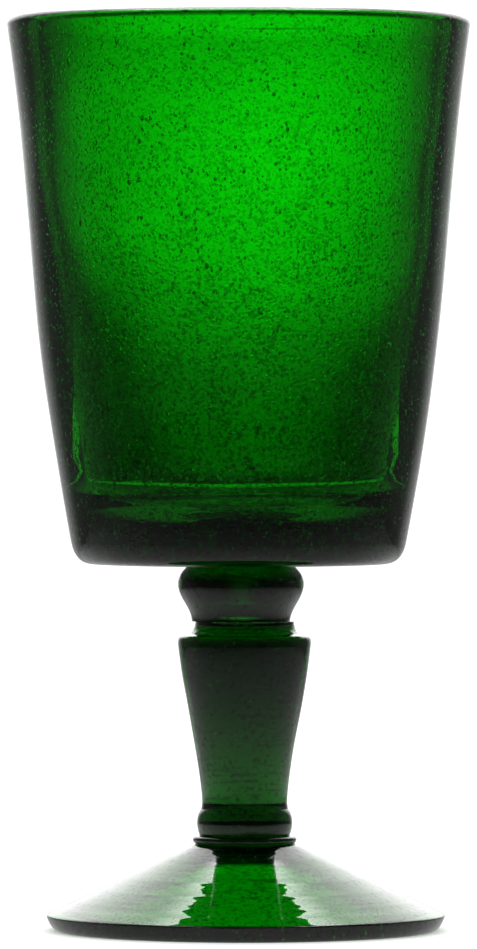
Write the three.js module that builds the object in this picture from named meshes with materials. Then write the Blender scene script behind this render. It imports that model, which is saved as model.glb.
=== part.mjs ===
// A hand-blown goblet of green seeded glass, 150 mm tall. It is stacked from six gathers of glass, each a turned
// solid: bowl, knop, stem, bead, merese and foot. The pieces meet face to face on level discs, where the hot glass
// was stuck together. The shaft and the foot were attached a little to one side of the bowl's axis.
import * as THREE from "three";

// Driving dimensions, in millimetres. Heights are above the table.
const TOTAL_HEIGHT = 150;
const RIM_RADIUS = 37.5;
const RIM_WALL = 3.1;
const BOWL_BASE_HEIGHT = 60;
const BOWL_BASE_RADIUS = 27.2;
const BOWL_FLOOR_THICKNESS = 9.6;
const BASE_WALL = 2.6;
const KNOP_RADIUS = 10;
const KNOP_TOP_RADIUS = 8.4;
const NECK_HEIGHT = 50.6;
const NECK_RADIUS = 8.05;
const SHOULDER_RADIUS = 10.6;
const SHOULDER_HEIGHT = 46.4;
const ANKLE_HEIGHT = 21;
const ANKLE_RADIUS = 6.75;
const BEAD_RADIUS = 7.65;
const BEAD_BASE_HEIGHT = 15.5;
const MERESE_RADIUS = 8.5;
const FOOT_HEIGHT = 14.2;
const FOOT_TOP_RADIUS = 8.3;
const FOOT_RADIUS = 32.3;
const FOOT_EDGE_HEIGHT = 2.4;
const FOOT_WALL = 3.9;
const REST_RING_OUTER = 31;
const REST_RING_INNER = 28.6;

// How far each piece's axis stands from the bowl's axis, along +X.
const KNOP_OFFSET = 0.4;
const STEM_OFFSET = 1;
const FOOT_OFFSET = 1.2;

const SEGMENTS = 48;
const CURVE_STEPS = 5;

// Turns a half outline of (radius, height) about the +Z axis.
function turned(outline) {
  const geometry = new THREE.LatheGeometry(outline.getPoints(CURVE_STEPS), SEGMENTS);
  return geometry.rotateX(Math.PI / 2);
}

function piece(name, outline, offset, material) {
  const mesh = new THREE.Mesh(turned(outline), material);
  mesh.name = name;
  mesh.position.x = offset;
  return mesh;
}

function glass(color, roughness) {
  return new THREE.MeshStandardMaterial({ color, roughness, metalness: 0, transparent: true, opacity: 0.8 });
}

// The outside runs up from the flat base in one long shallow S, and the lip is rolled over by the fire.
function bowl() {
  const corner = 3.6;
  const lip = RIM_WALL / 2;
  const lipHeight = TOTAL_HEIGHT - lip;
  const floorHeight = BOWL_BASE_HEIGHT + BOWL_FLOOR_THICKNESS;
  const innerRadius = BOWL_BASE_RADIUS + 1.4 - BASE_WALL;
  const innerCorner = 6;
  const outline = new THREE.Path();
  outline.moveTo(0, BOWL_BASE_HEIGHT);
  outline.lineTo(BOWL_BASE_RADIUS - corner, BOWL_BASE_HEIGHT);
  outline.bezierCurveTo(
    BOWL_BASE_RADIUS - corner / 2, BOWL_BASE_HEIGHT,
    BOWL_BASE_RADIUS - 0.5, BOWL_BASE_HEIGHT + 1,
    BOWL_BASE_RADIUS, BOWL_BASE_HEIGHT + corner,
  );
  outline.bezierCurveTo(
    RIM_RADIUS - 2.7, BOWL_BASE_HEIGHT + 44.6,
    RIM_RADIUS - 4.2, BOWL_BASE_HEIGHT + 59.3,
    RIM_RADIUS, lipHeight,
  );
  outline.absarc(RIM_RADIUS - lip, lipHeight, lip, 0, Math.PI, false);
  outline.bezierCurveTo(
    RIM_RADIUS - 4.2 - BASE_WALL, BOWL_BASE_HEIGHT + 59.3,
    RIM_RADIUS - 2.7 - BASE_WALL, BOWL_BASE_HEIGHT + 44.6,
    innerRadius, floorHeight + innerCorner,
  );
  outline.bezierCurveTo(
    innerRadius - 0.7, floorHeight + innerCorner / 3,
    innerRadius - innerCorner / 2, floorHeight,
    innerRadius - innerCorner, floorHeight,
  );
  outline.lineTo(0, floorHeight);
  return piece("bowl", outline, 0, glass(0x0a8a12, 0.06));
}

// A cushion that narrows downwards to a tooled neck.
function knop() {
  const widest = NECK_HEIGHT + 6.2;
  const outline = new THREE.Path();
  outline.moveTo(0, NECK_HEIGHT);
  outline.lineTo(NECK_RADIUS, NECK_HEIGHT);
  outline.bezierCurveTo(NECK_RADIUS, NECK_HEIGHT + 2.2, KNOP_RADIUS, widest - 2.4, KNOP_RADIUS, widest);
  outline.bezierCurveTo(
    KNOP_RADIUS, widest + 1.5,
    KNOP_TOP_RADIUS + 0.8, BOWL_BASE_HEIGHT - 0.9,
    KNOP_TOP_RADIUS, BOWL_BASE_HEIGHT,
  );
  outline.lineTo(0, BOWL_BASE_HEIGHT);
  return piece("knop", outline, KNOP_OFFSET, glass(0x07400c, 0.08));
}

// A solid shaft that widens upwards to a shoulder, above which it dips in to the neck.
function stem() {
  const outline = new THREE.Path();
  outline.moveTo(0, ANKLE_HEIGHT);
  outline.lineTo(ANKLE_RADIUS, ANKLE_HEIGHT);
  outline.bezierCurveTo(
    ANKLE_RADIUS + 0.15, ANKLE_HEIGHT + 6,
    SHOULDER_RADIUS - 1, SHOULDER_HEIGHT - 8.4,
    SHOULDER_RADIUS, SHOULDER_HEIGHT,
  );
  outline.bezierCurveTo(
    SHOULDER_RADIUS + 0.2, SHOULDER_HEIGHT + 1.5,
    SHOULDER_RADIUS - 0.1, SHOULDER_HEIGHT + 1.9,
    SHOULDER_RADIUS - 1, SHOULDER_HEIGHT + 2,
  );
  outline.bezierCurveTo(
    NECK_RADIUS + 0.8, SHOULDER_HEIGHT + 2.1,
    NECK_RADIUS + 0.1, NECK_HEIGHT - 1.4,
    NECK_RADIUS, NECK_HEIGHT,
  );
  outline.lineTo(0, NECK_HEIGHT);
  return piece("stem", outline, STEM_OFFSET, glass(0x0a5a12, 0.08));
}

// A rounded ring of glass at the ankle of the shaft.
function bead() {
  const outline = new THREE.Path();
  outline.moveTo(0, BEAD_BASE_HEIGHT);
  outline.lineTo(BEAD_RADIUS - 0.45, BEAD_BASE_HEIGHT);
  outline.bezierCurveTo(
    BEAD_RADIUS, BEAD_BASE_HEIGHT + 1,
    BEAD_RADIUS + 0.3, BEAD_BASE_HEIGHT + 3.3,
    BEAD_RADIUS - 0.7, BEAD_BASE_HEIGHT + 4.4,
  );
  outline.lineTo(ANKLE_RADIUS, ANKLE_HEIGHT);
  outline.lineTo(0, ANKLE_HEIGHT);
  return piece("bead", outline, STEM_OFFSET, glass(0x064a0c, 0.08));
}

// A thin flat disc with a rounded edge, between the bead and the foot.
function merese() {
  const half = (BEAD_BASE_HEIGHT - FOOT_HEIGHT) / 2;
  const outline = new THREE.Path();
  outline.moveTo(0, FOOT_HEIGHT);
  outline.lineTo(MERESE_RADIUS - half, FOOT_HEIGHT);
  outline.absarc(MERESE_RADIUS - half, FOOT_HEIGHT + half, half, -Math.PI / 2, Math.PI / 2, false);
  outline.lineTo(0, BEAD_BASE_HEIGHT);
  return piece("merese", outline, STEM_OFFSET, glass(0x043008, 0.08));
}

// A cone with an upright edge. Its underside is hollow, with a wall of even thickness, and it stands on a flat ring.
function foot() {
  const roofHeight = FOOT_HEIGHT - FOOT_WALL;
  const outline = new THREE.Path();
  outline.moveTo(0, roofHeight);
  outline.lineTo(FOOT_TOP_RADIUS, roofHeight);
  outline.lineTo(REST_RING_INNER, 0);
  outline.lineTo(REST_RING_OUTER, 0);
  outline.bezierCurveTo(
    REST_RING_OUTER + 0.6, 0,
    FOOT_RADIUS, FOOT_EDGE_HEIGHT - 0.9,
    FOOT_RADIUS, FOOT_EDGE_HEIGHT,
  );
  outline.lineTo(FOOT_TOP_RADIUS, FOOT_HEIGHT);
  outline.lineTo(0, FOOT_HEIGHT);
  return piece("foot", outline, FOOT_OFFSET, glass(0x0c7a16, 0.06));
}

const goblet = new THREE.Group();
goblet.add(bowl(), knop(), stem(), bead(), merese(), foot());

export default goblet;
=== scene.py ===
import math
import random

import bpy
from bpy.props import FloatProperty, FloatVectorProperty, IntProperty, PointerProperty
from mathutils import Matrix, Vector
from mathutils.bvhtree import BVHTree


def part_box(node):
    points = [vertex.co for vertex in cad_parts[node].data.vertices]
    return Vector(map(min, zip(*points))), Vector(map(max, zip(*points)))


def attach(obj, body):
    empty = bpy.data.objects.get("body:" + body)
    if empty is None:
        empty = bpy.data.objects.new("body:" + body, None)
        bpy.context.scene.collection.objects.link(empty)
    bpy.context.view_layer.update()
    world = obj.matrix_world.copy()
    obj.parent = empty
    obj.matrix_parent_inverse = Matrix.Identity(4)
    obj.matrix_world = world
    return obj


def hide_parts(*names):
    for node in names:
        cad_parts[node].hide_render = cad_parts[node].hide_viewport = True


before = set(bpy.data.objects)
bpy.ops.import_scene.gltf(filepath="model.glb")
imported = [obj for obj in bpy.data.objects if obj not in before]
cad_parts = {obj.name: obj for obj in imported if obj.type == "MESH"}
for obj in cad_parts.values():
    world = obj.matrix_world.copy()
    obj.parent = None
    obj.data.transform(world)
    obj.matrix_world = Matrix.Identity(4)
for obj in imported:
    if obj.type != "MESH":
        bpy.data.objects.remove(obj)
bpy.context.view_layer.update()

bl_info = {
    "name": "Seeded glass goblet",
    "version": (1, 0, 0),
    "blender": (4, 5, 0),
    "location": "3D View > Sidebar > Goblet",
    "description": "Builds a hand-blown goblet of green seeded glass, piece by piece",
    "category": "Add Mesh",
}

MM = 0.001
BODY = "root"

# Steps round a turned piece, the angle between faces below which it looks smooth, and how far apart two
# fused pieces stand so that each stays a closed solid.
ROUND_STEPS = 128
SMOOTH_ANGLE = math.radians(24)
SEAM_GAP = 0.01 * MM

# The waviness of hot glass dies away over this height next to a level face.
STILL_EDGE = 1.2 * MM

# The lip stays this far below the top of the frame's bowl, because waviness lifts it in places.
LIP_CLEARANCE = 0.35 * MM

# The rings that the shaping tool leaves on the foot: how many millimetres apart they lie, and over how
# many steps of the cone they fade in and out.
RING_PITCHES = (1.3, 2.1, 3.7, 6.1)
RING_FADE = 8

# Seeds are the bubbles in the glass. Places are drawn until one lies in the glass, up to so many times on
# average. No seed is nearer the surface than its cover. Those of a larger radius than a fine seed are
# modelled rounder, and each is between so many times as tall as wide.
TRIES_PER_SEED = 40
SEED_COVER = 0.12 * MM
SEED_STRETCH = (0.8, 1.7)
FINE_SEED = 0.19 * MM
SMALLEST_SEED = 0.09 * MM
SEED_SPREAD = 0.11 * MM
RARE_SEED = 0.2 * MM

# The stage, in metres. The lit cards stand behind the goblet, seen only through its glass.
TABLE_RADIUS = 0.34
SENSOR_HEIGHT = 36
GLASS_BOUNCES = 32
ROOM_LEVEL = 1.2

# The large card is lit in soft pools: across and up to the middle, reach across and up, level inside and
# outside. It fades up to the room's level between two distances aside and two heights.
CARD_WIDTH = 1.2
CARD_HEIGHT = 0.5
CARD_DISTANCE = 0.25
CARD_POOLS = (
    ((0.008, 0.13), (0.104, 0.058), 1.95, 0.02),
    ((0.0, 0.072), (0.05, 0.048), 0.46, 0.0),
)
CARD_FADES = {"X": (0.36, 0.59), "Z": (0.21, 0.49)}

# The small card close behind the shaft fades from lit to dim between two heights.
LOW_CARD_WIDTH = 0.2
LOW_CARD_HEIGHT = 0.038
LOW_CARD_DISTANCE = 0.05
LOW_CARD_MIDDLE = 0.036
LOW_CARD_FADE = (0.03, 0.056)
LOW_CARD_LIT = 0.6
LOW_CARD_DIM = 0.05

# What the glass mirrors of the room: the walls behind, the middle of them, a box light above them and one
# overhead. Each has a direction, the cosines from it at which the light starts and is full, and the
# levels outside and inside.
MIRRORED_LIGHTS = (
    ((0, 1, 0), -0.3, 0.4, 0.0, 0.06),
    ((0, 1, 0), 0.72, 1.0, 0.0, 0.4),
    ((0, 0.8, 0.6), 0.72, 0.97, 0.04, 2.2),
    ((0, 0.35, 0.94), 0.9, 0.98, 0.0, 5.0),
)

BOXES = {node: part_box(node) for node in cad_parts}


def centre_x(node):
    low, high = BOXES[node]
    return (low.x + high.x) / 2


def half_width(node):
    low, high = BOXES[node]
    return (high.y - low.y) / 2


def bottom(node):
    return BOXES[node][0].z


def top(node):
    return BOXES[node][1].z


def length(name, default, description):
    return FloatProperty(
        name=name, description=description, default=default, min=0, unit="LENGTH", precision=5,
    )


def colour(name, default, description):
    return FloatVectorProperty(
        name=name, description=description, default=to_linear(default), size=3, min=0, max=1, subtype="COLOR",
    )


def to_linear(hex_colour):
    """An sRGB hex colour as linear red, green and blue."""
    channels = [int(hex_colour[i:i + 2], 16) / 255 for i in (1, 3, 5)]
    return tuple(c / 12.92 if c <= 0.04045 else ((c + 0.055) / 1.055) ** 2.4 for c in channels)


# Sizes and colours that a user would change

class BowlSizes(bpy.types.PropertyGroup):
    rim_radius: length("Rim radius", half_width("bowl") + 0.38 * MM, "Outside of the lip, from the axis")
    base_radius: length("Base radius", 27.5 * MM, "Outside of the wall just above the base corner")
    base_corner: length("Base corner", 3.6 * MM, "Height of the rounded corner under the wall")
    lip: length("Lip", 3.1 * MM, "Thickness of the rolled, fire-polished lip")
    wall_middle: length("Wall at the middle", 3.3 * MM, "Thickness of the wall half-way up")
    wall_base: length("Wall at the base", 3.9 * MM, "Thickness of the wall just above the floor")
    floor: length("Floor", 6.8 * MM, "Thickness of the glass under the hollow")
    floor_corner: length("Floor corner", 9 * MM, "Height of the rounded corner inside")
    waviness: length("Waviness", 0.16 * MM, "How far the blown wall wanders from true")


class StemSizes(bpy.types.PropertyGroup):
    knop_radius: length("Knop radius", half_width("knop") + 0.3 * MM, "Widest part of the cushion")
    knop_top: length("Knop top", 8.4 * MM, "Radius where the knop meets the bowl")
    neck_radius: length("Neck radius", 8.05 * MM, "Narrowest part between knop and shoulder")
    shoulder_radius: length("Shoulder radius", 10.85 * MM, "Widest part of the shaft")
    shoulder_height: length("Shoulder height", 46.4 * MM, "Height of the shoulder above the table")
    ankle_radius: length("Ankle radius", 6.95 * MM, "Narrowest part of the shaft, above the bead")
    bead_radius: length("Bead radius", half_width("bead") + 0.15 * MM, "Widest part of the ring")
    merese_radius: length("Disc radius", half_width("merese"), "Outside of the thin disc on the foot")
    waviness: length("Waviness", 0.1 * MM, "How far the tooled pieces wander from true")


class FootSizes(bpy.types.PropertyGroup):
    radius: length("Radius", half_width("foot") + 0.3 * MM, "Outside of the foot's edge")
    edge: length("Edge", 2.5 * MM, "Height of the upright edge")
    top_radius: length("Top radius", 8.3 * MM, "Radius of the cone where the disc sits on it")
    wall: length("Wall", 3.9 * MM, "Upright thickness of the cone")
    rest_outer: length("Rest ring outside", 31 * MM, "Outside of the flat ring that it stands on")
    rest_inner: length("Rest ring inside", 28.6 * MM, "Inside of the flat ring that it stands on")
    waviness: length("Waviness", 0.05 * MM, "How far the pressed foot wanders from true")
    ring_depth: length("Tooling rings", 0.002 * MM, "Depth of tooling rings a millimetre apart")


class GlassLook(bpy.types.PropertyGroup):
    tint: colour("Tint", "#00F300", "Colour that the glass lets through")
    density: FloatProperty(
        name="Density", description="Strength of the tint, per metre of glass", default=1600, min=0,
    )
    ior: FloatProperty(name="IOR", description="How much soda-lime glass bends light", default=1.52, min=1)
    bowl_seeds: IntProperty(name="Bowl seeds", description="Fine bubbles in the bowl", default=13000, min=0)
    stem_seeds: IntProperty(name="Stem seeds", description="Bubbles from knop to disc", default=500, min=0)
    foot_seeds: IntProperty(name="Foot seeds", description="Fine bubbles in the foot", default=900, min=0)
    speck_spacing: length("Speck spacing", 1.2 * MM, "How far apart the bubbles lie that dimple the surface")
    grain_size: length("Grain size", 0.72 * MM, "How coarse the clouds of the finest bubbles are")
    grain: FloatProperty(
        name="Grain", description="How much light the clouds of the finest bubbles hold back", default=0.78,
        min=0, max=1,
    )


class StudioSetup(bpy.types.PropertyGroup):
    floor_colour: colour("Floor", "#F4F4F2", "Plain pale table top")
    camera_distance: length("Camera distance", 1.45, "From the goblet's axis to the lens")
    camera_height: length("Camera height", 96 * MM, "Lens above the table")
    aim_height: length("Aim height", 74.6 * MM, "Height on the axis that the camera looks at")
    frame_height: length("Frame height", 155.2 * MM, "What the picture takes in, measured at the axis")


# Modelling helpers

def deselect_all():
    for item in bpy.context.selected_objects:
        item.select_set(False)


def arc(start, handle_a, handle_b, end, steps):
    """Points, each a radius and a height, along a smooth curve from start, which is left out, to end."""
    points = []
    for step in range(1, steps + 1):
        t = step / steps
        weights = ((1 - t) ** 3, 3 * (1 - t) ** 2 * t, 3 * (1 - t) * t ** 2, t ** 3)
        controls = (start, handle_a, handle_b, end)
        points.append(tuple(sum(w * p[axis] for w, p in zip(weights, controls)) for axis in (0, 1)))
    return points


def straight(start, end, steps):
    """Evenly spaced points from start, which is left out, to end."""
    return [
        tuple(a + (b - a) * step / steps for a, b in zip(start, end))
        for step in range(1, steps + 1)
    ]


def half_turn(centre, radius, start, steps):
    """Points round half a circle, anticlockwise from the start angle, which is left out."""
    points = []
    for step in range(1, steps + 1):
        angle = start + math.pi * step / steps
        points.append((centre[0] + radius * math.cos(angle), centre[1] + radius * math.sin(angle)))
    return points


def turned(name, outline, axis_x):
    """Draws an outline with a vertex pulled along its radii and heights, and spins it into a closed piece."""
    deselect_all()
    bpy.ops.mesh.primitive_plane_add(size=MM)
    piece = bpy.context.object
    piece.name = name
    piece.data.name = name
    bpy.ops.object.mode_set(mode="EDIT")
    bpy.ops.mesh.merge(type="CENTER")
    radius, height = outline[0]
    bpy.ops.transform.translate(value=(axis_x + radius, 0, height))
    for (radius, height), (next_radius, next_height) in zip(outline, outline[1:]):
        step = (next_radius - radius, 0, next_height - height)
        bpy.ops.mesh.extrude_vertices_move(TRANSFORM_OT_translate={"value": step})
    bpy.ops.mesh.select_all(action="SELECT")
    bpy.ops.mesh.spin(steps=ROUND_STEPS, angle=math.tau, center=(axis_x, 0, 0), axis=(0, 0, 1))
    bpy.ops.mesh.select_all(action="SELECT")
    bpy.ops.mesh.remove_doubles(threshold=0.001 * MM)
    bpy.ops.mesh.normals_make_consistent(inside=False)
    bpy.ops.object.mode_set(mode="OBJECT")
    bpy.ops.object.shade_smooth_by_angle(angle=SMOOTH_ANGLE)
    return piece


def wander(piece, depth, size, keep_below, keep_above):
    """Pushes the surface in and out by soft noise, as hot glass does. The piece's level ends stay true."""
    free = piece.vertex_groups.new(name="free")
    for vertex in piece.data.vertices:
        edge = min(vertex.co.z - keep_below, keep_above - vertex.co.z)
        free.add([vertex.index], max(0.0, min(1.0, edge / STILL_EDGE)), "REPLACE")
    noise = bpy.data.textures.new(piece.name + "_wander", "CLOUDS")
    noise.noise_scale = size
    noise.noise_depth = 1
    displace = piece.modifiers.new("wander", "DISPLACE")
    displace.texture = noise
    displace.texture_coords = "LOCAL"
    displace.strength = 2 * depth
    displace.mid_level = 0.5
    displace.vertex_group = "free"
    deselect_all()
    bpy.context.view_layer.objects.active = piece
    piece.select_set(True)
    bpy.ops.object.modifier_apply(modifier="wander")


def bubble(large):
    """The corners and faces of one seed: a ball of twenty faces, or one of eight for a mere speck."""
    deselect_all()
    if large:
        bpy.ops.mesh.primitive_ico_sphere_add(subdivisions=1, radius=1)
    else:
        bpy.ops.mesh.primitive_uv_sphere_add(segments=4, ring_count=2, radius=1)
    ball = bpy.context.object
    corners = [vertex.co.copy() for vertex in ball.data.vertices]
    faces = [tuple(face.vertices) for face in ball.data.polygons]
    bpy.data.objects.remove(ball)
    return corners, faces


def seed_cloud(piece, count, draws, pick_place):
    """Bubbles trapped in the piece's glass: cavities whose faces look into the bubble, joined to its mesh."""
    bpy.context.view_layer.update()
    skin = BVHTree.FromObject(piece, bpy.context.evaluated_depsgraph_get())
    speck = bubble(large=False)
    ball = bubble(large=True)
    points = []
    polygons = []
    placed = 0
    for _ in range(count * TRIES_PER_SEED):
        if placed >= count:
            break
        place = pick_place(draws)
        radius = seed_radius(draws)
        near, normal, _, distance = skin.find_nearest(place)
        if (place - near).dot(normal) > 0 or distance < radius + SEED_COVER:
            continue
        placed += 1
        corners, faces = ball if radius > FINE_SEED else speck
        stretch = draws.uniform(*SEED_STRETCH)
        turn = draws.uniform(0, math.tau)
        base = len(points)
        for corner in corners:
            x = corner.x * math.cos(turn) - corner.y * math.sin(turn)
            y = corner.x * math.sin(turn) + corner.y * math.cos(turn)
            points.append(place + radius * Vector((x, y, corner.z * stretch)))
        polygons.extend(tuple(base + index for index in reversed(face)) for face in faces)
    mesh = bpy.data.meshes.new(piece.name + "_seeds")
    mesh.from_pydata(points, [], polygons)
    seeds = bpy.data.objects.new(piece.name + "_seeds", mesh)
    bpy.context.collection.objects.link(seeds)
    mesh.shade_smooth()
    deselect_all()
    seeds.select_set(True)
    piece.select_set(True)
    bpy.context.view_layer.objects.active = piece
    bpy.ops.object.join()


def seed_radius(draws):
    """Most seeds are mere specks. A few are several times as large."""
    return SMALLEST_SEED + SEED_SPREAD * draws.random() ** 2 + RARE_SEED * draws.random() ** 14


def in_cylinder(draws, axis_x, radius, low, high):
    """A random place in an upright cylinder, evenly spread."""
    angle = draws.uniform(0, math.tau)
    reach = radius * math.sqrt(draws.random())
    return Vector((axis_x + reach * math.cos(angle), reach * math.sin(angle), draws.uniform(low, high)))


def finish_piece(piece, node, material):
    """Gives a finished piece its glass and its place in the frame."""
    piece.data.materials.clear()
    piece.data.materials.append(material)
    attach(piece, BODY)
    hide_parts(node)


# Materials

WHITE = (1, 1, 1, 1)
BLACK = (0, 0, 0, 1)

# The surface of the glass: how deep its waves are, how wide a seed's dimple is as a share of the distance
# between two, and how dull the fire-polish gets where it is smeared, over what distance and at which
# levels of a noise.
WAVE_DEPTH = 0.01 * MM
DIMPLE_WIDTH = 0.24
DULLEST = 0.01
SMEAR_SIZE = 6 * MM
SMEARED = (0.35, 0.75)

# The clouds of the finest bubbles: over what distance and how much they crowd together, at which levels
# of a noise a cloud starts to shade and shades fully, and between which heights they thin out to what
# share. Their heavier grain low down also darkens the lower bowl as painted shade.
DRIFT_SIZE = 5 * MM
CROWDING = 0.05
CLOUDED = (0.53, 0.7)
THINNING_HEIGHTS = (80 * MM, 145 * MM)
THINNED = 0.5

# The table glows a little, as if lit from all sides. Its mirror image in the glass is a painted reflection:
# an emission that fades with distance from a place on it.
TABLE_GLOW = 0.25
TABLE_MIRROR_CENTRE = (0, 0.12, 0)
TABLE_MIRROR_REACH = 0.4
TABLE_MIRROR_NEAR = 0.75
TABLE_MIRROR_FAR = 0.02


def add_node(tree, kind, settings=None, links=None):
    """Adds a node with its settings and socket values, and links its inputs from other nodes' outputs."""
    node = tree.nodes.new(kind)
    for key, value in (settings or {}).items():
        if isinstance(key, int) or key in node.inputs:
            node.inputs[key].default_value = value
        else:
            setattr(node, key, value)
    for key, source in (links or {}).items():
        tree.links.new(source, node.inputs[key])
    return node


def new_material(name):
    material = bpy.data.materials.new(name)
    material.use_nodes = True
    material.node_tree.nodes.clear()
    return material, material.node_tree


def seeded_glass(name, look, wave_size, dimples, strength=1):
    """Soda-lime glass coloured through its mass, shaped hot and fire-polished. It is glossy all over and a
    little wavy, and its finest bubbles dimple and cloud it. Its colour deepens with thickness, from clear
    green in a thin wall to nearly black in a solid gather. A strength above 1 makes a darker copy of the
    same glass, as painted shade."""
    material, tree = new_material(name)
    place = add_node(tree, "ShaderNodeTexCoord").outputs["Object"]
    surface = add_node(
        tree, "ShaderNodeBsdfPrincipled", {"Transmission Weight": 1, "IOR": look.ior},
        {
            "Base Color": bubble_clouds(tree, place, look),
            "Normal": glass_relief(tree, place, look, wave_size, dimples),
            "Roughness": fire_polish(tree, place),
        },
    )
    volume = add_node(
        tree, "ShaderNodeVolumeAbsorption", {"Color": (*look.tint, 1), "Density": strength * look.density},
    )
    add_node(
        tree, "ShaderNodeOutputMaterial", None,
        {"Surface": surface.outputs["BSDF"], "Volume": volume.outputs["Volume"]},
    )
    return material


def glass_relief(tree, place, look, wave_size, dimples):
    """Soft waves, and on them the small domes over bubbles that lie near the surface."""
    noise = add_node(tree, "ShaderNodeTexNoise", {"Scale": 1 / wave_size, "Detail": 2}, {"Vector": place})
    waves = add_node(tree, "ShaderNodeBump", {"Distance": WAVE_DEPTH}, {"Height": noise.outputs["Fac"]})
    cells = add_node(tree, "ShaderNodeTexVoronoi", {"Scale": 1 / look.speck_spacing}, {"Vector": place})
    domes = add_node(
        tree, "ShaderNodeMapRange",
        {"interpolation_type": "SMOOTHSTEP", "From Max": DIMPLE_WIDTH, "To Min": 1.0, "To Max": 0.0},
        {"Value": cells.outputs["Distance"]},
    )
    relief = add_node(
        tree, "ShaderNodeBump", {"Distance": dimples},
        {"Height": domes.outputs["Result"], "Normal": waves.outputs["Normal"]},
    )
    return relief.outputs["Normal"]


def fire_polish(tree, place):
    """Roughness: mirror-smooth, with slightly duller smears."""
    smears = add_node(tree, "ShaderNodeTexNoise", {"Scale": 1 / SMEAR_SIZE, "Detail": 3}, {"Vector": place})
    polish = add_node(
        tree, "ShaderNodeMapRange",
        {"From Min": SMEARED[0], "From Max": SMEARED[1], "To Min": 0.0, "To Max": DULLEST},
        {"Value": smears.outputs["Fac"]},
    )
    return polish.outputs["Result"]


def bubble_clouds(tree, place, look):
    """White, darkened in grains where the finest bubbles crowd together. They thin out towards the rim, and
    their heavier grain low down is also painted shade on the lower bowl.
    """
    grains = add_node(
        tree, "ShaderNodeTexNoise", {"Scale": 1 / look.grain_size, "Detail": 1.5}, {"Vector": place},
    )
    drifts = add_node(tree, "ShaderNodeTexNoise", {"Scale": 1 / DRIFT_SIZE, "Detail": 1}, {"Vector": place})
    crowding = add_node(
        tree, "ShaderNodeMapRange",
        {"From Min": 0.3, "From Max": 0.7, "To Min": -CROWDING, "To Max": CROWDING},
        {"Value": drifts.outputs["Fac"]},
    )
    crowded = add_node(
        tree, "ShaderNodeMath", {"operation": "ADD"},
        {0: grains.outputs["Fac"], 1: crowding.outputs["Result"]},
    )
    height = add_node(tree, "ShaderNodeSeparateXYZ", None, {0: place}).outputs["Z"]
    # Painted shade as well as fewer bubbles: the grain is heavier below the thinning heights, which darkens
    # the lower bowl.
    thinning_and_low_shade = add_node(
        tree, "ShaderNodeMapRange",
        {
            "From Min": THINNING_HEIGHTS[0], "From Max": THINNING_HEIGHTS[1],
            "To Min": look.grain, "To Max": THINNED * look.grain,
        },
        {"Value": height},
    )
    shadow = add_node(
        tree, "ShaderNodeMapRange",
        {"interpolation_type": "SMOOTHSTEP", "From Min": CLOUDED[0], "From Max": CLOUDED[1], "To Min": 0.0},
        {"Value": crowded.outputs["Value"], "To Max": thinning_and_low_shade.outputs["Result"]},
    )
    clouds = add_node(
        tree, "ShaderNodeMix", {"data_type": "RGBA", 6: WHITE, 7: BLACK}, {0: shadow.outputs["Result"]},
    )
    return clouds.outputs[2]


def mirror_ray(tree):
    """1 for a ray that a glossy surface mirrored, else 0, so that mirror images can be kept faint."""
    path = add_node(tree, "ShaderNodeLightPath")
    return add_node(
        tree, "ShaderNodeMath", {"operation": "SUBTRACT", "use_clamp": True},
        {0: path.outputs["Is Reflection Ray"], 1: path.outputs["Is Diffuse Ray"]},
    ).outputs["Value"]


def table_material(floor_colour):
    """White laminate table top, smooth and matt. Its mirror image in the glass is a painted reflection,
    bright near a place behind the goblet and faint further off.
    """
    material, tree = new_material("white_laminate")
    place = add_node(tree, "ShaderNodeTexCoord").outputs["Object"]
    reach = add_node(
        tree, "ShaderNodeVectorMath", {"operation": "DISTANCE", 1: TABLE_MIRROR_CENTRE}, {0: place},
    )
    fade = add_node(
        tree, "ShaderNodeMapRange",
        {
            "interpolation_type": "SMOOTHSTEP", "From Max": TABLE_MIRROR_REACH,
            "To Min": TABLE_MIRROR_NEAR, "To Max": TABLE_MIRROR_FAR,
        },
        {"Value": reach.outputs["Value"]},
    )
    # Painted reflection: mirror rays see this emission instead of the lit table top.
    mirrored = add_node(tree, "ShaderNodeEmission", {"Color": WHITE}, {"Strength": fade.outputs["Result"]})
    surface = add_node(
        tree, "ShaderNodeBsdfPrincipled",
        {
            "Base Color": (*floor_colour, 1), "Roughness": 0.7,
            "Emission Color": WHITE, "Emission Strength": TABLE_GLOW,
        },
    )
    seen = add_node(
        tree, "ShaderNodeMixShader", None,
        {0: mirror_ray(tree), 1: surface.outputs["BSDF"], 2: mirrored.outputs["Emission"]},
    )
    add_node(tree, "ShaderNodeOutputMaterial", None, {"Surface": seen.outputs["Shader"]})
    return material


# Outlines: each is a list of radius and height that starts and ends on the axis. The two middle places
# that an arc is given are the handles that pull its curve.

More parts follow.
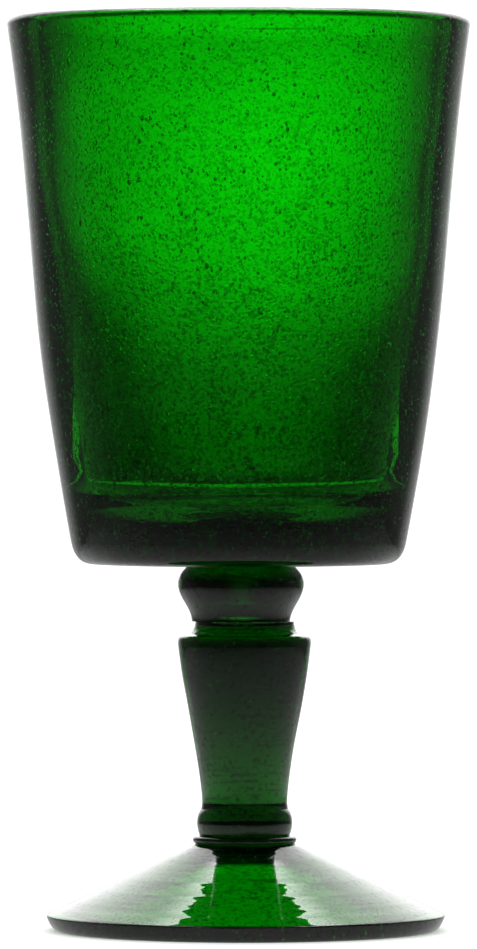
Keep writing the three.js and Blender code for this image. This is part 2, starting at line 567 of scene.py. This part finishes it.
def bowl_outline(sizes):
    """Along the base, up the outside, over the rolled lip, down the inside and along the floor."""
    base = bottom("bowl") + SEAM_GAP
    floor = base + sizes.floor
    lip = sizes.lip / 2
    lip_height = top("bowl") - lip - LIP_CLEARANCE
    flat = sizes.base_radius - sizes.base_corner
    wall_foot = (sizes.base_radius, base + sizes.base_corner)
    lower_pull = (sizes.rim_radius - 2.75 * MM, base + 44.6 * MM)
    upper_pull = (sizes.rim_radius - 4.2 * MM, base + 59.3 * MM)
    inside_foot = (sizes.base_radius + 1.5 * MM - sizes.wall_base, floor + sizes.floor_corner)
    inside_flat = (inside_foot[0] - sizes.floor_corner, floor)
    points = [(0, base)] + straight((0, base), (flat, base), steps=8)
    points += arc(
        points[-1], (flat + 1.8 * MM, base), (sizes.base_radius - 0.5 * MM, base + 1 * MM),
        wall_foot, steps=8,
    )
    points += arc(wall_foot, lower_pull, upper_pull, (sizes.rim_radius, lip_height), steps=44)
    points += half_turn((sizes.rim_radius - lip, lip_height), lip, start=0, steps=12)
    points += arc(
        points[-1],
        (upper_pull[0] - sizes.wall_middle, upper_pull[1]),
        (lower_pull[0] - sizes.wall_middle, lower_pull[1]),
        inside_foot, steps=40,
    )
    points += arc(
        inside_foot,
        (inside_foot[0] - 0.7 * MM, floor + sizes.floor_corner / 3),
        (inside_foot[0] - sizes.floor_corner / 2, floor),
        inside_flat, steps=10,
    )
    return points + straight(inside_flat, (0, floor), steps=8)


def knop_outline(sizes):
    """A cushion between the neck and the bowl."""
    low = bottom("knop") + SEAM_GAP
    high = top("knop") - SEAM_GAP
    widest = low + 6.2 * MM
    points = [(0, low)] + straight((0, low), (sizes.neck_radius, low), steps=3)
    points += arc(
        points[-1], (sizes.neck_radius, low + 2.2 * MM), (sizes.knop_radius, widest - 2.4 * MM),
        (sizes.knop_radius, widest), steps=14,
    )
    points += arc(
        points[-1], (sizes.knop_radius, widest + 1.5 * MM), (sizes.knop_top + 0.8 * MM, high - 0.9 * MM),
        (sizes.knop_top, high), steps=10,
    )
    return points + straight(points[-1], (0, high), steps=3)


def stem_outline(sizes):
    """A shaft that widens from its ankle to a shoulder, with a short neck above."""
    low = bottom("stem") + SEAM_GAP
    high = top("stem") - SEAM_GAP
    shoulder = sizes.shoulder_height
    points = [(0, low)] + straight((0, low), (sizes.ankle_radius, low), steps=3)
    points += arc(
        points[-1], (sizes.ankle_radius + 0.15 * MM, low + 6 * MM),
        (sizes.shoulder_radius - 1 * MM, shoulder - 8.4 * MM), (sizes.shoulder_radius, shoulder), steps=26,
    )
    points += arc(
        points[-1], (sizes.shoulder_radius + 0.2 * MM, shoulder + 1.5 * MM),
        (sizes.shoulder_radius - 0.1 * MM, shoulder + 1.9 * MM),
        (sizes.shoulder_radius - 1 * MM, shoulder + 2 * MM), steps=9,
    )
    points += arc(
        points[-1], (sizes.neck_radius + 0.8 * MM, shoulder + 2.1 * MM),
        (sizes.neck_radius + 0.1 * MM, high - 1.4 * MM), (sizes.neck_radius, high), steps=9,
    )
    return points + straight(points[-1], (0, high), steps=3)


def bead_outline(sizes):
    """A full round ring with a short slope up to the ankle."""
    low = bottom("bead") + SEAM_GAP
    high = top("bead") - SEAM_GAP
    points = [(0, low)] + straight((0, low), (sizes.bead_radius - 0.4 * MM, low), steps=3)
    points += arc(
        points[-1], (sizes.bead_radius + 0.1 * MM, low + 1 * MM),
        (sizes.bead_radius + 0.35 * MM, low + 3.3 * MM),
        (sizes.bead_radius - 0.65 * MM, low + 4.4 * MM), steps=12,
    )
    points += straight(points[-1], (sizes.ankle_radius, high), steps=3)
    return points + straight(points[-1], (0, high), steps=3)


def merese_outline(sizes):
    """A thin disc with a round edge."""
    low = bottom("merese") + SEAM_GAP
    high = top("merese") - SEAM_GAP
    half = (high - low) / 2
    flat = sizes.merese_radius - half
    points = [(0, low)] + straight((0, low), (flat, low), steps=3)
    points += half_turn((flat, low + half), half, start=-math.pi / 2, steps=10)
    return points + straight(points[-1], (0, high), steps=3)


def foot_outline(sizes, draws):
    """Along the hollow's roof, down its side, round the edge that it stands on, and up the cone. The cone
    carries shallow rings from the shaping tool, which die away at its edge and at the disc."""
    high = top("foot") - SEAM_GAP
    roof = high - sizes.wall
    edge = sizes.edge
    hollow_top = (11.3 * MM, roof - 1.5 * MM)
    points = [(0, roof)] + straight((0, roof), (4 * MM, roof), steps=3)
    points += arc(points[-1], (7 * MM, roof), (8.3 * MM, roof), hollow_top, steps=8)
    points += straight(hollow_top, (sizes.rest_inner - 0.3 * MM, 0.18 * MM), steps=24)
    points += [(sizes.rest_inner, 0.03 * MM), (sizes.rest_inner + 0.3 * MM, 0)]
    points += straight(points[-1], (sizes.rest_outer - 0.2 * MM, 0), steps=3)
    points += arc(
        points[-1], (sizes.rest_outer + 0.6 * MM, 0), (sizes.radius - 0.2 * MM, edge - 0.9 * MM),
        (sizes.radius, edge - 0.15 * MM), steps=8,
    )
    points += arc(
        points[-1], (sizes.radius + 0.03 * MM, edge + 0.05 * MM), (sizes.radius, edge + 0.15 * MM),
        (sizes.radius - 0.3 * MM, edge + 0.3 * MM), steps=4,
    )
    cone = straight(points[-1], (sizes.top_radius + 0.3 * MM, high - 0.1 * MM), steps=90)
    phases = [draws.uniform(0, math.tau) for _ in RING_PITCHES]
    for index, (radius, height) in enumerate(cone):
        fade = min(index, len(cone) - 1 - index, RING_FADE) / RING_FADE
        ripple = sum(
            pitch * math.sin(radius / (pitch * MM) * math.tau + phase)
            for pitch, phase in zip(RING_PITCHES, phases)
        )
        points.append((radius, height + fade * ripple * sizes.ring_depth))
    points.append((sizes.top_radius, high))
    return points + straight(points[-1], (0, high), steps=3)


# Operators

class GOBLET_OT_bowl(bpy.types.Operator):
    """Blows the bowl: a flared cup with a rolled lip, a thick floor and a cloud of fine seeds"""
    bl_idname = "goblet.bowl"
    bl_label = "Bowl"

    def execute(self, context):
        sizes = context.scene.goblet_bowl
        look = context.scene.goblet_glass
        draws = random.Random(7)
        low, high = bottom("bowl"), top("bowl")
        piece = turned("bowl_blown", bowl_outline(sizes), centre_x("bowl"))
        wander(piece, sizes.waviness, size=28 * MM, keep_below=low + 0.2 * MM, keep_above=high + 3 * MM)

        def in_wall_or_floor(draws):
            """Seeds lie a little closer together low in the wall, and anywhere in the floor."""
            angle = draws.uniform(0, math.tau)
            height = low + (high - low) * draws.random() ** 1.15
            reach = draws.uniform(sizes.base_radius - 8 * MM, sizes.rim_radius)
            if height < low + sizes.floor:
                reach = sizes.base_radius * math.sqrt(draws.random())
            return Vector((reach * math.cos(angle), reach * math.sin(angle), height))

        seed_cloud(piece, look.bowl_seeds, draws, in_wall_or_floor)
        glass = seeded_glass("blown_green_soda_glass", look, wave_size=9 * MM, dimples=0.04 * MM)
        finish_piece(piece, "bowl", glass)
        return {"FINISHED"}


class GOBLET_OT_stem(bpy.types.Operator):
    """Gathers the solid pieces under the bowl: knop, shouldered shaft, bead and disc"""
    bl_idname = "goblet.stem"
    bl_label = "Knop, stem, bead and disc"

    def execute(self, context):
        sizes = context.scene.goblet_stem
        look = context.scene.goblet_glass
        draws = random.Random(11)
        shaft_glass = seeded_glass("tooled_green_soda_glass", look, wave_size=5 * MM, dimples=0.02 * MM)
        # Painted shade: the bead and disc get a darker copy of the same glass, 1.7 times as dense in colour.
        shaded_collar_glass = seeded_glass(
            "darker_copy_green_glass", look, wave_size=5 * MM, dimples=0.02 * MM, strength=1.7,
        )
        pieces = {
            "knop": (knop_outline(sizes), shaft_glass),
            "stem": (stem_outline(sizes), shaft_glass),
            "bead": (bead_outline(sizes), shaded_collar_glass),
            "merese": (merese_outline(sizes), shaded_collar_glass),
        }
        for node, (outline, glass) in pieces.items():
            low, high = bottom(node), top(node)
            piece = turned(node + "_tooled", outline, centre_x(node))
            wander(piece, sizes.waviness, size=9 * MM, keep_below=low, keep_above=high)
            share = (high - low) / (top("knop") - bottom("merese"))
            seed_cloud(
                piece, int(look.stem_seeds * share), draws,
                lambda draws: in_cylinder(draws, centre_x(node), half_width(node), low, high),
            )
            finish_piece(piece, node, glass)
        return {"FINISHED"}


class GOBLET_OT_foot(bpy.types.Operator):
    """Shapes the foot: a hollow cone with tooling rings and a thick upright edge"""
    bl_idname = "goblet.foot"
    bl_label = "Foot"

    def execute(self, context):
        sizes = context.scene.goblet_foot
        look = context.scene.goblet_glass
        draws = random.Random(23)
        piece = turned("foot_cone", foot_outline(sizes, draws), centre_x("foot"))
        wander(piece, sizes.waviness, size=12 * MM, keep_below=bottom("foot"), keep_above=top("foot"))
        seed_cloud(
            piece, look.foot_seeds, draws,
            lambda draws: in_cylinder(draws, centre_x("foot"), sizes.radius, 0, top("foot")),
        )
        glass = seeded_glass("pressed_green_soda_glass", look, wave_size=6 * MM, dimples=0)
        finish_piece(piece, "foot", glass)
        return {"FINISHED"}


class GOBLET_OT_stage(bpy.types.Operator):
    """Sets the white table, the two lit cards behind the goblet, the pale room and the camera"""
    bl_idname = "goblet.stage"
    bl_label = "Stage"

    def execute(self, context):
        setup = context.scene.goblet_studio
        self.table(setup)
        self.card()
        self.low_card()
        self.room(context.scene)
        self.camera(context.scene, setup)
        self.picture(context.scene)
        return {"FINISHED"}

    def table(self, setup):
        deselect_all()
        bpy.ops.mesh.primitive_circle_add(vertices=96, radius=TABLE_RADIUS, fill_type="NGON")
        table = bpy.context.object
        table.name = "table_top"
        table.data.materials.append(table_material(setup.floor_colour))

    def card(self):
        """A diffuser lit from behind in two soft pools. Its sides and top fade up to the room's white."""
        card = self.sheet("lit_card", CARD_WIDTH, CARD_HEIGHT, CARD_DISTANCE, CARD_HEIGHT / 2)
        material, tree = new_material("back_lit_diffuser")
        place = add_node(tree, "ShaderNodeTexCoord").outputs["Object"]
        pools = []
        for (x, z), (wide, high), inside, outside in CARD_POOLS:
            pool = add_node(
                tree, "ShaderNodeMapping",
                {"vector_type": "TEXTURE", "Location": (x, CARD_DISTANCE, z), "Scale": (wide, 1, high)},
                {"Vector": place},
            )
            reach = add_node(
                tree, "ShaderNodeVectorMath", {"operation": "LENGTH"}, {0: pool.outputs["Vector"]},
            )
            glow = add_node(
                tree, "ShaderNodeMapRange",
                {"interpolation_type": "SMOOTHSTEP", "To Min": inside, "To Max": outside},
                {"Value": reach.outputs["Value"]},
            )
            pools.append(glow.outputs["Result"])
        light = add_node(tree, "ShaderNodeMath", {"operation": "ADD"}, dict(enumerate(pools)))
        axes = add_node(tree, "ShaderNodeSeparateXYZ", None, {0: place})
        fades = []
        for axis, (start, end) in CARD_FADES.items():
            aside = add_node(tree, "ShaderNodeMath", {"operation": "ABSOLUTE"}, {0: axes.outputs[axis]})
            rise = add_node(
                tree, "ShaderNodeMapRange",
                {"interpolation_type": "SMOOTHSTEP", "From Min": start, "From Max": end},
                {"Value": aside.outputs["Value"]},
            )
            fades.append(rise.outputs["Result"])
        fade = add_node(tree, "ShaderNodeMath", {"operation": "MAXIMUM"}, dict(enumerate(fades)))
        level = add_node(
            tree, "ShaderNodeMix", {"data_type": "FLOAT", 3: ROOM_LEVEL},
            {0: fade.outputs["Value"], 2: light.outputs["Value"]},
        )
        glow = add_node(tree, "ShaderNodeEmission", {"Color": WHITE}, {"Strength": level.outputs[0]})
        add_node(tree, "ShaderNodeOutputMaterial", None, {"Surface": glow.outputs["Emission"]})
        card.data.materials.append(material)

    def low_card(self):
        """A small lit sheet of tracing paper close behind the shaft, dark towards its top."""
        card = self.sheet(
            "low_card", LOW_CARD_WIDTH, LOW_CARD_HEIGHT, LOW_CARD_DISTANCE, LOW_CARD_MIDDLE,
        )
        material, tree = new_material("back_lit_tracing_paper")
        place = add_node(tree, "ShaderNodeTexCoord").outputs["Object"]
        height = add_node(tree, "ShaderNodeSeparateXYZ", None, {0: place}).outputs["Z"]
        level = add_node(
            tree, "ShaderNodeMapRange",
            {
                "interpolation_type": "SMOOTHSTEP",
                "From Min": LOW_CARD_FADE[0], "From Max": LOW_CARD_FADE[1],
                "To Min": LOW_CARD_LIT, "To Max": LOW_CARD_DIM,
            },
            {"Value": height},
        )
        glow = add_node(tree, "ShaderNodeEmission", {"Color": WHITE}, {"Strength": level.outputs["Result"]})
        add_node(tree, "ShaderNodeOutputMaterial", None, {"Surface": glow.outputs["Emission"]})
        card.data.materials.append(material)

    def sheet(self, name, width, height, distance, middle):
        """An upright sheet behind the goblet that only the light passing through glass can see."""
        deselect_all()
        bpy.ops.mesh.primitive_plane_add(size=1)
        sheet = bpy.context.object
        sheet.name = name
        bpy.ops.object.mode_set(mode="EDIT")
        bpy.ops.mesh.select_all(action="SELECT")
        bpy.ops.transform.resize(value=(width, height, 1))
        bpy.ops.transform.rotate(value=math.radians(90), orient_axis="X", center_override=(0, 0, 0))
        bpy.ops.transform.translate(value=(0, distance, middle))
        bpy.ops.object.mode_set(mode="OBJECT")
        sheet.visible_camera = False
        sheet.visible_diffuse = False
        sheet.visible_glossy = False
        return sheet

    def room(self, scene):
        """White walls all round. Their mirror images in the glass are kept faint, but for those of the lights
        over and behind the goblet."""
        world = bpy.data.worlds.new("white_room")
        world.use_nodes = True
        tree = world.node_tree
        tree.nodes.clear()
        direction = add_node(tree, "ShaderNodeTexCoord").outputs["Generated"]
        total = None
        for toward, start, full, outside, inside in MIRRORED_LIGHTS:
            facing = add_node(
                tree, "ShaderNodeVectorMath", {"operation": "DOT_PRODUCT", 1: toward}, {0: direction},
            )
            light = add_node(
                tree, "ShaderNodeMapRange",
                {
                    "interpolation_type": "SMOOTHSTEP", "From Min": start, "From Max": full,
                    "To Min": outside, "To Max": inside,
                },
                {"Value": facing.outputs["Value"]},
            ).outputs["Result"]
            if total is not None:
                light = add_node(
                    tree, "ShaderNodeMath", {"operation": "ADD"}, {0: total, 1: light},
                ).outputs["Value"]
            total = light
        level = add_node(
            tree, "ShaderNodeMix", {"data_type": "FLOAT", 2: ROOM_LEVEL}, {0: mirror_ray(tree), 3: total},
        )
        glow = add_node(tree, "ShaderNodeBackground", {"Color": WHITE}, {"Strength": level.outputs[0]})
        add_node(tree, "ShaderNodeOutputWorld", None, {"Surface": glow.outputs["Background"]})
        scene.world = world

    def camera(self, scene, setup):
        """A long lens level with the middle of the bowl, looking very slightly down."""
        lens = bpy.data.cameras.new("camera")
        camera = bpy.data.objects.new("camera", lens)
        scene.collection.objects.link(camera)
        camera.location = (0, -setup.camera_distance, setup.camera_height)
        aim = Vector((0, 0, setup.aim_height)) - camera.location
        camera.rotation_euler = aim.to_track_quat("-Z", "Y").to_euler()
        lens.sensor_fit = "VERTICAL"
        lens.sensor_height = SENSOR_HEIGHT
        lens.lens = SENSOR_HEIGHT * setup.camera_distance / setup.frame_height
        scene.camera = camera

    def picture(self, scene):
        """Shows the light as it is, without its noise, and lets it pass through glass inside glass."""
        scene.view_settings.view_transform = "Standard"
        scene.cycles.use_denoising = True
        scene.cycles.max_bounces = GLASS_BOUNCES
        scene.cycles.transmission_bounces = GLASS_BOUNCES
        scene.cycles.glossy_bounces = GLASS_BOUNCES // 2


class GOBLET_PT_panel(bpy.types.Panel):
    """Lists the goblet's pieces and their sizes"""
    bl_idname = "GOBLET_PT_panel"
    bl_label = "Goblet"
    bl_space_type = "VIEW_3D"
    bl_region_type = "UI"
    bl_category = "Goblet"

    def draw(self, context):
        for operator in OPERATORS:
            self.layout.operator(operator.bl_idname)
        for group in GROUPS:
            settings = getattr(context.scene, group)
            self.layout.separator()
            for name in settings.__annotations__:
                self.layout.prop(settings, name)


GROUPS = {
    "goblet_bowl": BowlSizes,
    "goblet_stem": StemSizes,
    "goblet_foot": FootSizes,
    "goblet_glass": GlassLook,
    "goblet_studio": StudioSetup,
}
OPERATORS = (GOBLET_OT_stage, GOBLET_OT_bowl, GOBLET_OT_stem, GOBLET_OT_foot)


def register():
    for name, group in GROUPS.items():
        bpy.utils.register_class(group)
        setattr(bpy.types.Scene, name, PointerProperty(type=group))
    for item in (*OPERATORS, GOBLET_PT_panel):
        bpy.utils.register_class(item)


def unregister():
    for item in reversed((*OPERATORS, GOBLET_PT_panel)):
        bpy.utils.unregister_class(item)
    for name, group in reversed(GROUPS.items()):
        delattr(bpy.types.Scene, name)
        bpy.utils.unregister_class(group)


def main():
    register()
    bpy.ops.goblet.stage()
    bpy.ops.goblet.bowl()
    bpy.ops.goblet.stem()
    bpy.ops.goblet.foot()


if __name__ == "__main__":
    main()
